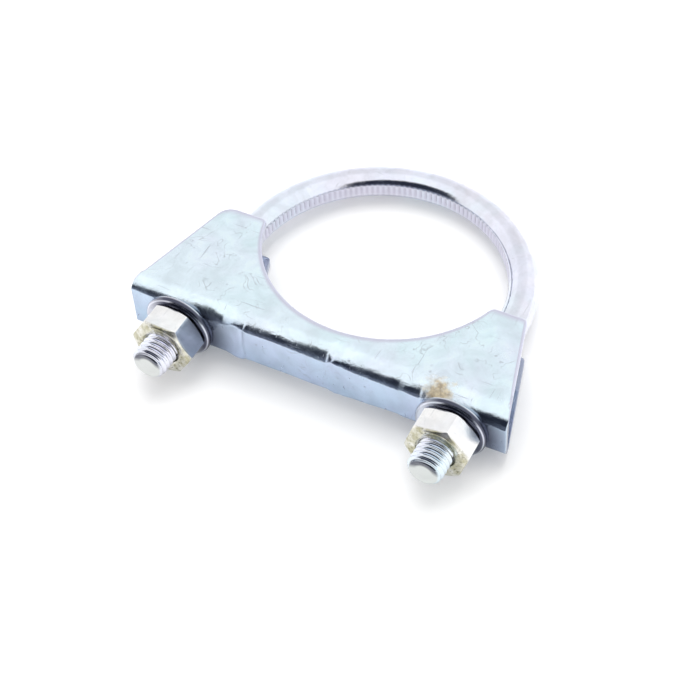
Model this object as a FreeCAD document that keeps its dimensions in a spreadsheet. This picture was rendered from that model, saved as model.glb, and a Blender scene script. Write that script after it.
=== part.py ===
"""Exhaust clamp: an M8 U-bolt, a folded sheet saddle, and a washer and a nut on each leg.

Frame: the origin is the centre of the U-bolt's bend, which is the axis of the pipe that the clamp
holds. +Z is that axis, +X runs along the saddle to the right-hand leg, and the legs point to -Y,
where the nuts are. The part stands with +Z up, on the rims of its washers and the tips of its lower
ears. Lengths are in mm.
"""

import FreeCAD, Part
import os
import Sketcher
from FreeCAD import Placement, Rotation, Vector

# Driving dimensions: alias, value in mm or degrees, meaning
SIZES = [
    ("PipePlay", 0.4, "radial play between the pipe and the inside of the bend"),
    ("RodDiameter", 7.0, "plain rod of the U-bolt, the blank of a rolled M8 thread"),
    ("GripDepth", 0.4, "how far the inside of the bend is pressed flat to grip the pipe"),
    ("ThreadDiameter", 7.9, "major diameter of the rolled M8 thread"),
    ("LegLength", 43.3, "from the centre of the bend to the ends of the legs"),
    ("PlainLeg", 1.3, "plain rod on each leg, between the bend and the thread"),
    ("ThreadRunout", 1.0, "cone between the plain rod and the thread"),
    ("EndChamfer", 0.8, "chamfer on the ends of the legs"),
    ("SaddleLength", 88.4, "length of the saddle's web"),
    ("EndMargin", 11.7, "from the middle of each hole in the web to the web's end"),
    ("SaddleHeight", 14.0, "height of the saddle over both cheeks"),
    ("SheetThickness", 1.7, "sheet that the saddle is folded from"),
    ("FoldRadius", 2.8, "outside radius of the two folds"),
    ("WebPlace", 29.8, "from the centre of the bend to the web's outer face, as far as the nuts are run on"),
    ("WaistDepth", 7.0, "from the web's outer face to the bottom of the round cut-out in the cheeks"),
    ("CutoutPlay", 0.3, "radial play between the pipe and the cut-out"),
    ("CutoutShift", 1.6, "how far the press set the cut-out to the right of the middle"),
    ("EarOverhang", 4.8, "from the middle of each leg out to the outer corner of its ear"),
    ("LeftEarHeight", 29.7, "from the web's outer face to the tip of the left ear"),
    ("RightEarHeight", 26.8, "from the web's outer face to the tip of the right ear"),
    ("LeftEarRound", 4.0, "radius of the left ear's outer corner"),
    ("RightEarRound", 1.2, "radius of the right ear's outer corner"),
    ("EarInnerRound", 1.5, "radius where each ear's tip meets the cut-out"),
    ("HolePlay", 0.5, "radial play between the thread and the holes in the web"),
    ("LegDrop", 0.8, "how far the legs lie below the middle of the saddle's height"),
    ("WasherDiameter", 16.0, "outside diameter of an M8 plain washer"),
    ("WasherThickness", 1.6, "thickness of an M8 plain washer"),
    ("WasherPlay", 0.25, "radial play between the thread and the washer's hole"),
    ("WasherEdge", 0.2, "broken outer edge of the washer"),
    ("NutAcrossFlats", 13.0, "spanner size of an M8 nut"),
    ("NutHeight", 6.5, "height of an M8 nut"),
    ("NutFaceDiameter", 12.3, "circle where the nut's 30 degree chamfer meets its faces"),
    ("NutBoreChamfer", 0.5, "countersink at both ends of the nut's bore"),
    ("ThreadPlay", 0.05, "radial play that stands for the fit of nut and thread"),
    ("LeftNutTurn", 58.0, "angle of a corner of the left nut above +X, seen from the front"),
    ("RightNutTurn", 72.0, "angle of a corner of the right nut above +X, seen from the front"),
]

# Sizes worked out from the driving ones, as expressions of the sheet's cells
HALF_LENGTH = "(Sizes.SaddleLength / 2)"
BEND_RADIUS = "(" + HALF_LENGTH + " - Sizes.EndMargin)"
ROD_RADIUS = "(Sizes.RodDiameter / 2)"
THREAD_RADIUS = "(Sizes.ThreadDiameter / 2)"
PIPE_RADIUS = "(" + BEND_RADIUS + " - " + ROD_RADIUS + " + Sizes.GripDepth - Sizes.PipePlay)"
CUTOUT_RADIUS = "(" + PIPE_RADIUS + " + Sizes.CutoutPlay)"
CUTOUT_CENTRE = "(Sizes.WaistDepth + " + CUTOUT_RADIUS + ")"
HALF_HEIGHT = "(Sizes.SaddleHeight / 2)"
EAR_SPREAD = "(" + BEND_RADIUS + " + Sizes.EarOverhang)"
EAR_REACH = "(max(Sizes.LeftEarHeight; Sizes.RightEarHeight) + Sizes.SheetThickness)"
NUT_CORNER = "(Sizes.NutAcrossFlats / sqrt(3))"
NUT_FACE_RADIUS = "(Sizes.NutFaceDiameter / 2)"
NUT_BORE_RADIUS = "(" + THREAD_RADIUS + " + Sizes.ThreadPlay)"

# Each side of the clamp: name, sign of X, cell with the turn of its nut
SIDES = [("left", "-", "LeftNutTurn"), ("right", "", "RightNutTurn")]


def make_sheet(doc):
    """The spreadsheet of driving dimensions."""
    sheet = doc.addObject("Spreadsheet::Sheet", "Sizes")
    for row, (alias, size, meaning) in enumerate(SIZES, start=1):
        sheet.set("A%d" % row, meaning)
        sheet.set("B%d" % row, str(size))
        sheet.setAlias("B%d" % row, alias)
    doc.recompute()
    return sheet


def plane(body, role):
    """One of a body's own origin planes or axes, such as XY_Plane."""
    return [item for item in body.Origin.OriginFeatures if item.Role == role][0]


def new_sketch(body, name, role, offset=None):
    """A sketch on one of the body's origin planes, moved along the plane's normal by an expression."""
    sketch = body.newObject("Sketcher::SketchObject", name)
    sketch.AttachmentSupport = (plane(body, role), [""])
    sketch.MapMode = "FlatFace"
    if offset:
        sketch.setExpression("AttachmentOffset.Base.z", offset)
    return sketch


def number(sketch, expression):
    """The present value of an expression of the sheet's cells."""
    found = sketch.evalExpression(expression)
    return float(getattr(found, "Value", found))


def bind(sketch, index, name, expression):
    """Name a constraint of a sketch and tie it to an expression."""
    sketch.renameConstraint(index, name)
    sketch.setExpression("Constraints." + name, expression)


def outline(sketch, corners, arcs=None, closed=True, first=""):
    """Straight and round segments through corners given as pairs of expressions.

    arcs maps the number of a corner to (radius, centre x, centre y, clockwise) for the segment
    that leaves it. Every corner is held by its two distances from the sketch's origin.
    """
    arcs = arcs or {}
    points = [Vector(number(sketch, x), number(sketch, y), 0) for x, y in corners]
    count = len(points) if closed else len(points) - 1
    start = sketch.GeometryCount
    for i in range(count):
        begin, end = points[i], points[(i + 1) % len(points)]
        if i in arcs:
            radius, centre_x, centre_y, clockwise = arcs[i]
            centre = Vector(number(sketch, centre_x), number(sketch, centre_y), 0)
            sketch.addGeometry(round_segment(begin, end, centre, number(sketch, radius), clockwise))
        else:
            sketch.addGeometry(Part.LineSegment(begin, end))

    def ends(i):
        turned = i in arcs and arcs[i][3]
        return (2, 1) if turned else (1, 2)

    for i in range(count if closed else count - 1):
        after = (i + 1) % count
        sketch.addConstraint(
            Sketcher.Constraint("Coincident", start + i, ends(i)[1], start + after, ends(after)[0]))
    for i, (x, y) in enumerate(corners):
        segment = i if i < count else i - 1
        end = ends(segment)[0] if i < count else ends(segment)[1]
        for way, expression in (("X", x), ("Y", y)):
            index = sketch.addConstraint(Sketcher.Constraint(
                "Distance" + way, -1, 1, start + segment, end, number(sketch, expression)))
            bind(sketch, index, "%scorner_%d_%s" % (first, i, way.lower()), expression)
    for i, (radius, centre_x, centre_y, clockwise) in arcs.items():
        index = sketch.addConstraint(Sketcher.Constraint("Radius", start + i, number(sketch, radius)))
        bind(sketch, index, "%sradius_%d" % (first, i), radius)


def round_segment(begin, end, centre, radius, clockwise):
    """The arc about centre from begin to end."""
    circle = Part.Circle(centre, Vector(0, 0, 1), radius)
    if clockwise:
        begin, end = end, begin
    return Part.ArcOfCircle(circle, circle.parameter(begin), circle.parameter(end))


def circle(sketch, name, centre_x, centre_y, radius):
    """A circle held by its centre and its radius."""
    centre = Vector(number(sketch, centre_x), number(sketch, centre_y), 0)
    item = sketch.addGeometry(Part.Circle(centre, Vector(0, 0, 1), number(sketch, radius)))
    for way, expression in (("X", centre_x), ("Y", centre_y)):
        index = sketch.addConstraint(Sketcher.Constraint(
            "Distance" + way, -1, 1, item, 3, number(sketch, expression)))
        bind(sketch, index, name + "_" + way.lower(), expression)
    index = sketch.addConstraint(Sketcher.Constraint("Radius", item, number(sketch, radius)))
    bind(sketch, index, name + "_radius", radius)


def turned(body, kind, name, sketch, axis, angle=360.0):
    """A Revolution or a Groove of a sketch about one of its axes."""
    feature = body.newObject("PartDesign::" + kind, name)
    feature.Profile = sketch
    feature.ReferenceAxis = (sketch, [axis])
    feature.Angle = angle
    return feature


def new_body(doc, label):
    """A body whose label names its file."""
    body = doc.addObject("PartDesign::Body", label)
    body.Label = label
    return body


def make_u_bolt(doc):
    """One rod: a half-round bend pressed flat inside, and two legs with a rolled thread."""
    body = new_body(doc, "u_bolt")
    thread_start = "(-Sizes.PlainLeg)"
    route = new_sketch(body, "bend_route", "XY_Plane")
    outline(route,
            [(BEND_RADIUS, thread_start), (BEND_RADIUS, "0"), ("0", BEND_RADIUS),
             ("-" + BEND_RADIUS, "0"), ("-" + BEND_RADIUS, thread_start)],
            {1: (BEND_RADIUS, "0", "0", False), 2: (BEND_RADIUS, "0", "0", False)}, closed=False)
    section = new_sketch(body, "rod_section", "XZ_Plane", "Sizes.PlainLeg")
    circle(section, "rod", BEND_RADIUS, "0", ROD_RADIUS)
    rod = body.newObject("PartDesign::AdditivePipe", "rod")
    rod.Profile = section
    rod.Spine = route
    doc.recompute()

    # The thread stands proud of the rod, which is why the rod is thinner than the thread
    profile = new_sketch(body, "thread_profile", "XY_Plane")
    middle = BEND_RADIUS
    outer = middle + " + " + THREAD_RADIUS
    outline(profile, [
        (middle, thread_start),
        (middle + " + " + ROD_RADIUS, thread_start),
        (outer, thread_start + " - Sizes.ThreadRunout"),
        (outer, "Sizes.EndChamfer - Sizes.LegLength"),
        (outer + " - Sizes.EndChamfer", "-Sizes.LegLength"),
        (middle, "-Sizes.LegLength"),
    ])
    line = Part.LineSegment(Vector(number(profile, middle), 0, 0), Vector(number(profile, middle), 10, 0))
    axis = profile.addGeometry(line, True)
    for end, height in ((1, 0.0), (2, 10.0)):
        index = profile.addConstraint(Sketcher.Constraint(
            "DistanceX", -1, 1, axis, end, number(profile, middle)))
        bind(profile, index, "axis_%d_x" % end, middle)
        profile.addConstraint(Sketcher.Constraint("DistanceY", -1, 1, axis, end, height))
    thread = turned(body, "Revolution", "right_thread", profile, "Axis0")
    doc.recompute()
    pair = body.newObject("PartDesign::Mirrored", "both_threads")
    pair.Originals = [thread]
    pair.MirrorPlane = (plane(body, "YZ_Plane"), [""])
    body.Tip = pair
    doc.recompute()

    # The press leaves a cylinder about the pipe's axis on the inside of the bend
    before = body.Shape.Volume
    flat = new_sketch(body, "grip_profile", "XZ_Plane")
    inside = BEND_RADIUS + " - " + ROD_RADIUS
    outline(flat, [
        (inside + " - 1", "-" + ROD_RADIUS),
        (inside + " + Sizes.GripDepth", "-" + ROD_RADIUS),
        (inside + " + Sizes.GripDepth", ROD_RADIUS),
        (inside + " - 1", ROD_RADIUS),
    ])
    turned(body, "Groove", "grip_face", flat, "V_Axis", 180.0)
    doc.recompute()
    if body.Shape.Volume > before - 1.0:
        raise RuntimeError("the grip face cut nothing")
    body.setExpression("Placement.Base.z", "-Sizes.LegDrop")
    return body


def upright_edges(shape, x, y):
    """Names of the straight edges along Z that stand at x and y."""
    names = []
    for number_of_edge, edge in enumerate(shape.Edges, start=1):
        ends = [vertex.Point for vertex in edge.Vertexes]
        if len(ends) == 2 and all(abs(p.x - x) < 0.01 and abs(p.y - y) < 0.01 for p in ends):
            names.append("Edge%d" % number_of_edge)
    return names


def make_saddle(doc):
    """One sheet folded to a channel, with two ears and a round cut-out in both cheeks.

    It is drawn with the outer face of its web at y = 0 and then moved to its place on the legs.
    """
    body = new_body(doc, "saddle")
    channel = new_sketch(body, "channel_section", "YZ_Plane")
    high, low = HALF_HEIGHT, "-" + HALF_HEIGHT
    fold, sheet = "Sizes.FoldRadius", "Sizes.SheetThickness"
    inner = "(Sizes.FoldRadius - Sizes.SheetThickness)"
    upper, lower = high + " - " + fold, low + " + " + fold
    outline(channel, [
        (EAR_REACH, high), (fold, high), ("0", upper), ("0", lower), (fold, low), (EAR_REACH, low),
        (EAR_REACH, low + " + " + sheet), (fold, low + " + " + sheet), (sheet, lower),
        (sheet, upper), (fold, high + " - " + sheet), (EAR_REACH, high + " - " + sheet),
    ], {
        1: (fold, fold, upper, False), 3: (fold, fold, lower, False),
        7: (inner, fold, lower, True), 9: (inner, fold, upper, True),
    })
    folded = body.newObject("PartDesign::Pad", "folded_sheet")
    folded.Profile = channel
    folded.SideType = "Symmetric"
    folded.setExpression("Length", "Sizes.SaddleLength + 2")
    doc.recompute()

    # Everything outside the blank's outline is cut away, through both cheeks
    blank = new_sketch(body, "blank_outline", "XY_Plane")
    frame_x, frame_y = HALF_LENGTH + " + 5", EAR_REACH + " + 5"
    outline(blank, [("-(" + frame_x + ")", "-5"), (frame_x, "-5"), (frame_x, frame_y),
                    ("-(" + frame_x + ")", frame_y)], first="frame_")

    def cut_end(sign, ear):
        rise = "(Sizes." + ear + " - " + CUTOUT_CENTRE + ")"
        run = "sqrt(" + CUTOUT_RADIUS + "^2 - " + rise + "^2)"
        return "Sizes.CutoutShift " + sign + " " + run

    right_x, left_x = cut_end("+", "RightEarHeight"), cut_end("-", "LeftEarHeight")
    corners = [
        (HALF_LENGTH, "-1"), (HALF_LENGTH, sheet), (EAR_SPREAD, "Sizes.RightEarHeight"),
        (right_x, "Sizes.RightEarHeight"), (left_x, "Sizes.LeftEarHeight"),
        ("-" + EAR_SPREAD, "Sizes.LeftEarHeight"), ("-" + HALF_LENGTH, sheet),
        ("-" + HALF_LENGTH, "-1"),
    ]
    outline(blank, corners, {3: (CUTOUT_RADIUS, "Sizes.CutoutShift", CUTOUT_CENTRE, True)}, first="edge_")
    before = body.Shape.Volume
    trim = body.newObject("PartDesign::Pocket", "blank_edges")
    trim.Profile = blank
    trim.SideType = "Symmetric"
    trim.setExpression("Length", "Sizes.SaddleHeight + 2")
    doc.recompute()
    if body.Shape.Volume > before - 1.0:
        raise RuntimeError("the blank's outline cut nothing")

    # The ears' corners are rounded with the sheet still flat, so both cheeks get them
    for name, corner, radius in (
            ("left_ear_round", 5, "Sizes.LeftEarRound"), ("right_ear_round", 2, "Sizes.RightEarRound"),
            ("left_inner_round", 4, "Sizes.EarInnerRound"), ("right_inner_round", 3, "Sizes.EarInnerRound")):
        x, y = [number(blank, expression) for expression in corners[corner]]
        below = body.Tip
        rounded = body.newObject("PartDesign::Fillet", name)
        rounded.Base = (below, upright_edges(below.Shape, x, y))
        rounded.setExpression("Radius", radius)
        doc.recompute()

    # The holes run into the lower fold's inside, so they are cut as deep as the fold is round
    holes = new_sketch(body, "hole_places", "XZ_Plane")
    for side, sign, turn in SIDES:
        circle(holes, side, sign + BEND_RADIUS, "-Sizes.LegDrop", "(" + THREAD_RADIUS + " + Sizes.HolePlay)")
    before = body.Shape.Volume
    punched = body.newObject("PartDesign::Pocket", "leg_holes")
    punched.Profile = holes
    punched.setExpression("Length", fold)
    doc.recompute()
    if body.Shape.Volume > before - 1.0:
        raise RuntimeError("the holes cut nothing")
    body.setExpression("Placement.Base.y", "-Sizes.WebPlace")
    return body


def seat(body, sign, depth):
    """Stand a turned piece on a leg: its own +Z becomes -Y, its foot is at depth before the web."""
    body.Placement = Placement(Vector(), Rotation(Vector(1, 0, 0), 90))
    body.setExpression("Placement.Base.x", sign + BEND_RADIUS)
    body.setExpression("Placement.Base.y", "-Sizes.WebPlace - " + depth)
    body.setExpression("Placement.Base.z", "-Sizes.LegDrop")


def make_washer(doc, side, sign):
    """A plain turned washer between the web and the nut."""
    body = new_body(doc, "washer_" + side)
    profile = new_sketch(body, "washer_%s_profile" % side, "XZ_Plane")
    hole = THREAD_RADIUS + " + Sizes.WasherPlay"
    rim, thick, edge = "Sizes.WasherDiameter / 2", "Sizes.WasherThickness", "Sizes.WasherEdge"
    outline(profile, [(hole, "0"), (rim, "0"), (rim, thick + " - " + edge),
                      (rim + " - " + edge, thick), (hole, thick)])
    turned(body, "Revolution", "washer_%s_disc" % side, profile, "V_Axis")
    doc.recompute()
    seat(body, sign, "0")
    return body


def make_nut(doc, side, sign, turn):
    """A hexagon nut, chamfered at 30 degrees on both faces."""
    body = new_body(doc, "nut_" + side)
    hexagon = new_sketch(body, "nut_%s_hexagon" % side, "XY_Plane")
    half, flat = "(" + NUT_CORNER + " / 2)", "(Sizes.NutAcrossFlats / 2)"
    outline(hexagon, [(NUT_CORNER, "0"), (half, flat), ("-" + half, flat),
                      ("-" + NUT_CORNER, "0"), ("-" + half, "-" + flat), (half, "-" + flat)])
    hexagon.setExpression("AttachmentOffset.Rotation.Angle", "Sizes." + turn)
    block = body.newObject("PartDesign::Pad", "nut_%s_block" % side)
    block.Profile = hexagon
    block.setExpression("Length", "Sizes.NutHeight")
    doc.recompute()

    # A ring with a triangular section takes the six corners off each face
    outside = NUT_CORNER + " + 1"
    fall = "((" + outside + " - " + NUT_FACE_RADIUS + ") / sqrt(3))"
    for end, face, way in (("foot", "0", "+"), ("head", "Sizes.NutHeight", "-")):
        ring = new_sketch(body, "nut_%s_%s_chamfer" % (side, end), "XZ_Plane")
        outline(ring, [(NUT_FACE_RADIUS, face), (outside, face), (outside, face + " " + way + " " + fall)])
        turned(body, "Groove", "nut_%s_%s_ring" % (side, end), ring, "V_Axis")
        doc.recompute()
    bore = new_sketch(body, "nut_%s_bore" % side, "XZ_Plane")
    wide, tall = NUT_BORE_RADIUS + " + Sizes.NutBoreChamfer", "Sizes.NutHeight"
    outline(bore, [("0", "0"), (wide, "0"), (NUT_BORE_RADIUS, "Sizes.NutBoreChamfer"),
                   (NUT_BORE_RADIUS, tall + " - Sizes.NutBoreChamfer"), (wide, tall), ("0", tall)])
    turned(body, "Groove", "nut_%s_hole" % side, bore, "V_Axis")
    doc.recompute()
    seat(body, sign, "Sizes.WasherThickness")
    return body


def check(doc, pieces):
    """Stop before anything is written if an object failed or a piece isn't one valid solid."""
    for item in doc.Objects:
        if "Invalid" in item.State or "Error" in item.State:
            raise RuntimeError("%s: %s" % (item.Name, item.State))
    for piece in pieces:
        shape = piece.Shape
        if shape.isNull() or not shape.isValid() or len(shape.Solids) != 1:
            raise RuntimeError("%s isn't one valid solid" % piece.Label)


def main():
    doc = FreeCAD.newDocument("exhaust_clamp")
    make_sheet(doc)
    pieces = [make_u_bolt(doc), make_saddle(doc)]
    for side, sign, turn in SIDES:
        pieces.append(make_washer(doc, side, sign))
        pieces.append(make_nut(doc, side, sign, turn))
    doc.recompute()
    check(doc, pieces)
    os.makedirs("parts", exist_ok=True)
    for piece in pieces:
        piece.Shape.exportStep(os.path.join("parts", piece.Label + ".step"))
        box = piece.Shape.BoundBox
        print("%-13s %8.1f mm3  x %.2f %.2f  y %.2f %.2f  z %.2f %.2f" % (
            piece.Label, piece.Shape.Volume, box.XMin, box.XMax, box.YMin, box.YMax, box.ZMin, box.ZMax))


main()
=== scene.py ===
"""The looks of a zinc-plated exhaust clamp: U-bolt, folded saddle, two washers and two nuts."""

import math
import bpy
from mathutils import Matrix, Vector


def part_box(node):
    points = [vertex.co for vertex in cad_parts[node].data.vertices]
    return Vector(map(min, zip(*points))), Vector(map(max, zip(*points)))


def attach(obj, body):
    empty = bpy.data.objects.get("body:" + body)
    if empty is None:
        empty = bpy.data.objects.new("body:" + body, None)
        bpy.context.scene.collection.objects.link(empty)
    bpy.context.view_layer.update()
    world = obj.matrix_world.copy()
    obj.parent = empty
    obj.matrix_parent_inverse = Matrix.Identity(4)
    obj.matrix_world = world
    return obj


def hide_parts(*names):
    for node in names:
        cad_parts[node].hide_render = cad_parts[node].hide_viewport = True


bl_info = {
    "name": "Exhaust clamp",
    "version": (1, 0, 0),
    "blender": (4, 5, 0),
    "location": "View3D > Sidebar > Exhaust clamp",
    "description": "Builds the plated U-bolt, saddle, washers and nuts of an exhaust clamp",
    "category": "Add Mesh",
}

import bmesh
import bpy
import numpy as np
from mathutils import Matrix, Vector

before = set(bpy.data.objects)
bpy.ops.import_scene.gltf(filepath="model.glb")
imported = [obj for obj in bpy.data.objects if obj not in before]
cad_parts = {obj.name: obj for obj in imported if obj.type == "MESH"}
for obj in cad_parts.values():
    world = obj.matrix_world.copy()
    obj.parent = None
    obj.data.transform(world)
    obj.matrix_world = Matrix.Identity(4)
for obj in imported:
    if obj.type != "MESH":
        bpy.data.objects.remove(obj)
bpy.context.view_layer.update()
MM = 0.001


def node_box(name):
    """The lowest and highest corner of a node of the frame, in millimetres."""
    low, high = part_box(name)
    return np.array(low) / MM, np.array(high) / MM


ROD_LOW = node_box("u_bolt")[0]
SHEET_LOW, SHEET_HIGH = node_box("saddle")
WASHER_LOW, WASHER_HIGH = node_box("washer_right")
NUT_LOW, NUT_HIGH = node_box("nut_right")

# Places that the frame gives: the legs' axes and ends, the web's outer face and the nuts' seat
LEG_X = round((WASHER_LOW[0] + WASHER_HIGH[0]) / 2, 2)
LEG_Z = round((WASHER_LOW[2] + WASHER_HIGH[2]) / 2, 2)
LEG_END = ROD_LOW[1]
WEB_FACE = SHEET_LOW[1]
NUT_SEAT = NUT_HIGH[1]

# Play and small roundings that no user would change, in millimetres
WASHER_PLAY = 0.25
NUT_PLAY = 0.06
END_CHAMFER = 0.8
INNER_ROLL = 0.08


# Meshes


def grid_faces(rows, columns, around=False):
    """Quads of a grid of points kept row by row. With around, the last column meets the first."""
    row = np.arange(rows - 1)[:, None] * columns
    column = np.arange(columns if around else columns - 1)[None]
    beside = (column + 1) % columns
    quads = [row + column, row + columns + column, row + columns + beside, row + beside]
    return np.stack(quads, -1).reshape(-1, 4)


def joined(*parts):
    """Several (points, faces) pairs as one, the faces renumbered."""
    points, faces, start = [], [], 0
    for some, quads in parts:
        some = np.asarray(some, float).reshape(-1, 3)
        points.append(some)
        faces.append(np.asarray(quads) + start)
        start += len(some)
    return np.concatenate(points), np.concatenate(faces)


def closed_mesh(name, points, faces, attributes=None, weld=0.0015):
    """A smooth mesh of points in millimetres, its seams and poles welded and its faces turned outwards."""
    mesh = bpy.data.meshes.new(name)
    mesh.vertices.add(len(points))
    mesh.vertices.foreach_set("co", (np.asarray(points, float) * MM).ravel())
    mesh.loops.add(faces.size)
    mesh.loops.foreach_set("vertex_index", np.ascontiguousarray(faces, dtype=np.int32).ravel())
    mesh.polygons.add(len(faces))
    mesh.polygons.foreach_set("loop_start", np.arange(0, faces.size, 4, dtype=np.int32))
    mesh.update(calc_edges=True)
    for key, values in (attributes or {}).items():
        attribute = mesh.attributes.new(key, "FLOAT", "POINT")
        attribute.data.foreach_set("value", np.asarray(values, np.float32).ravel())
    work = bmesh.new()
    work.from_mesh(mesh)
    bmesh.ops.remove_doubles(work, verts=work.verts, dist=weld * MM)
    bmesh.ops.recalc_face_normals(work, faces=work.faces)
    for face in work.faces:
        face.smooth = True
    work.to_mesh(mesh)
    work.free()
    mesh.validate()
    return mesh


def placed(name, mesh, body, material, slot, *nodes):
    """The object of a finished piece, riding on its body in place of its node."""
    piece = bpy.data.objects.new(name, mesh)
    bpy.context.scene.collection.objects.link(piece)
    mesh.materials.append(material)
    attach(piece, body)
    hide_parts(*nodes)
    return piece


def smooth_step(x, low, high):
    """0 below low, 1 above high, and the cubic 3t2 - 2t3 between them."""
    t = np.clip((np.asarray(x, float) - low) / (high - low), 0.0, 1.0)
    return t * t * (3 - 2 * t)


def hump(x, middle, width):
    """A bell of height 1: the exponential of minus the squared distance from middle over width."""
    return np.exp(-(((np.asarray(x, float) - middle) / width) ** 2))


# U-bolt


def section_angles(flat_edge):
    """Angles round the rod from its inner side, closer together about the edge of the pressed flat."""
    near = [0, 5, 10, 15, 19, 23, 26, flat_edge, flat_edge + 1.6, 32, 36, 40, 45]
    half = np.concatenate([near, np.linspace(50, 180, 25)])
    return np.radians(np.concatenate([half, 360 - half[1:-1][::-1]]))


def thread_radius(along, turn, sizes):
    """Radius of the rolled thread at a distance from the leg's end and an angle round the leg.

    The phase is the distance over the pitch less the angle in turns. It runs over crest, flank, rounded
    root and flank. The end is a 45 degree chamfer, and the thread rises out of the rod near its start.
    """
    phase = np.mod(along / sizes.pitch - turn / (2 * np.pi), 1.0)
    crest, root, rod = sizes.thread / 2, sizes.thread_root / 2, sizes.rod / 2
    places = [0, 0.07, 0.37, 0.5, 0.63, 0.93, 1]
    radii = [crest, crest - 0.02, root + 0.04, root, root + 0.04, crest - 0.02, crest]
    radius = np.interp(phase, places, radii)
    runout = 2.6
    radius = rod + (radius - rod) * smooth_step(sizes.thread_length - along, 0.0, runout)
    return np.minimum(radius, crest - END_CHAMFER + np.maximum(along, 0.0))


def around_leg(side, radius, along, turn):
    """Points round a leg's axis, at a distance along it from its end and an angle from +Z towards +X."""
    radius, along, turn = np.broadcast_arrays(radius, along, turn)
    across, above = side * LEG_X + radius * np.sin(turn), LEG_Z + radius * np.cos(turn)
    return np.stack([across, LEG_END + along, above], -1)


def leg_surface(side, sizes, angles):
    """The threaded stretch of a leg, its rows wound along the helix so that they follow the crests."""
    steps = np.array([0.0, 0.07, 0.22, 0.37, 0.5, 0.63, 0.78, 0.93])
    turns = int(sizes.thread_length / sizes.pitch) + 3
    rows = (np.arange(turns)[:, None] + steps[None]).ravel() - 1.0
    # the angle about +Y from +Z towards +X; the inner side of a leg faces the other leg
    round_leg = np.mod(angles - side * np.pi / 2, 2 * np.pi)
    order = np.argsort(round_leg)
    round_leg = np.append(round_leg[order], round_leg[order][0] + 2 * np.pi)
    wound = rows[:, None] + round_leg[None] / (2 * np.pi)
    along = np.clip(wound * sizes.pitch, 0.0, sizes.thread_length)
    thread = around_leg(side, thread_radius(along, round_leg[None], sizes), along, round_leg)
    # the end face: a shallow dish inside a narrow rim, its middle a little higher
    ring = np.array([1.0, 0.97, 0.92, 0.89, 0.85, 0.81, 0.77, 0.73, 0.7, 0.62, 0.45, 0.25, 0.0])
    depth = smooth_step(1 - ring, 0.10, 0.26) - 0.3 * smooth_step(1 - ring, 0.3, 1.0)
    rim = (sizes.thread / 2 - END_CHAMFER) * ring[:, None]
    face = around_leg(side, rim, sizes.end_dish * depth[:, None], round_leg)
    columns = len(round_leg)
    return [(thread, grid_faces(len(rows), columns)), (face, grid_faces(len(ring), columns))]


def bend_surface(sizes, angles):
    """The bend: a round section carried along a half circle, its inner side pressed flat and toothed.

    A point's distance towards the pipe is cut off at the pressed depth, and the teeth are a raised
    cosine along the bend, as deep as their groove in the middle of the flat and fading at its edges.
    With points and faces comes the grip, a number from 0 to 1 that tells the toothed strip for its own
    duller tone and is higher in the grooves, where it stands for painted shade.
    """
    stub = -(LEG_END + sizes.thread_length)
    arc = math.pi * LEG_X
    teeth = int(round(math.pi * (LEG_X - sizes.rod / 2) / sizes.tooth_pitch))
    swing = np.linspace(0, np.pi, teeth * 6 + 1)
    before = np.linspace(-stub, 0, 5)[:-1]
    along = np.concatenate([before, swing * LEG_X, arc - before[::-1]])
    swing = np.clip(along / LEG_X, 0, np.pi)
    outward = np.stack([np.cos(swing), np.sin(swing)], -1)
    straight = np.where(along < 0, along, np.where(along > arc, arc - along, 0.0))
    centre = np.stack([LEG_X * outward[:, 0], LEG_X * outward[:, 1] + straight], -1)
    pressed = (smooth_step(along, 0.3, 2.6) * smooth_step(arc - along, 0.3, 2.6))[:, None]
    rod = sizes.rod / 2
    inward, upward = np.cos(angles)[None], np.sin(angles)[None]
    wave = (0.5 + 0.5 * np.cos(swing * teeth * 2))[:, None]
    inner = 1 - smooth_step(np.abs(rod * upward), 0.95, 1.55)
    groove = sizes.tooth_depth * wave ** 1.5 * inner * pressed
    limit = rod - sizes.pressed * pressed - groove
    radius = np.minimum(rod, np.where(inward > 0.2, limit / np.maximum(inward, 0.2), rod))
    out = -radius * inward
    points = np.stack([centre[:, :1] + out * outward[:, :1], centre[:, 1:] + out * outward[:, 1:],
                       LEG_Z + radius * upward], -1)
    grip_and_groove_shade = smooth_step(inward * radius, limit - 0.12, limit - 0.01) * pressed * (inward > 0.5)
    # the strip's own duller tone, stronger in the grooves as painted shade
    grip_and_groove_shade = grip_and_groove_shade * (0.4 + 0.35 * wave * inner)
    return points, grid_faces(len(along), angles.size, around=True), grip_and_groove_shade


def u_bolt_mesh(sizes):
    """Both threaded legs and the toothed bend, welded into one closed surface."""
    flat_edge = math.degrees(math.acos(1 - sizes.pressed / (sizes.rod / 2)))
    angles = section_angles(flat_edge)
    *bend, grip_and_groove_shade = bend_surface(sizes, angles)
    legs = leg_surface(1, sizes, angles) + leg_surface(-1, sizes, angles)
    points, faces = joined(bend, *legs)
    grip_and_groove_shade = np.append(grip_and_groove_shade.ravel(), np.zeros(len(points) - grip_and_groove_shade.size))
    return closed_mesh("u_bolt", points, faces, {"grip_and_groove_shade": grip_and_groove_shade})


# Saddle


def rounded_corner(before, corner, after, reach):
    """A corner cut off at reach on both sides and replaced by the parabola that touches them."""
    first = corner + (before - corner) / np.linalg.norm(before - corner) * reach
    last = corner + (after - corner) / np.linalg.norm(after - corner) * reach
    t = np.linspace(0, 1, 12)[:, None]
    return (1 - t) ** 2 * first + 2 * t * (1 - t) * corner + t ** 2 * last


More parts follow.
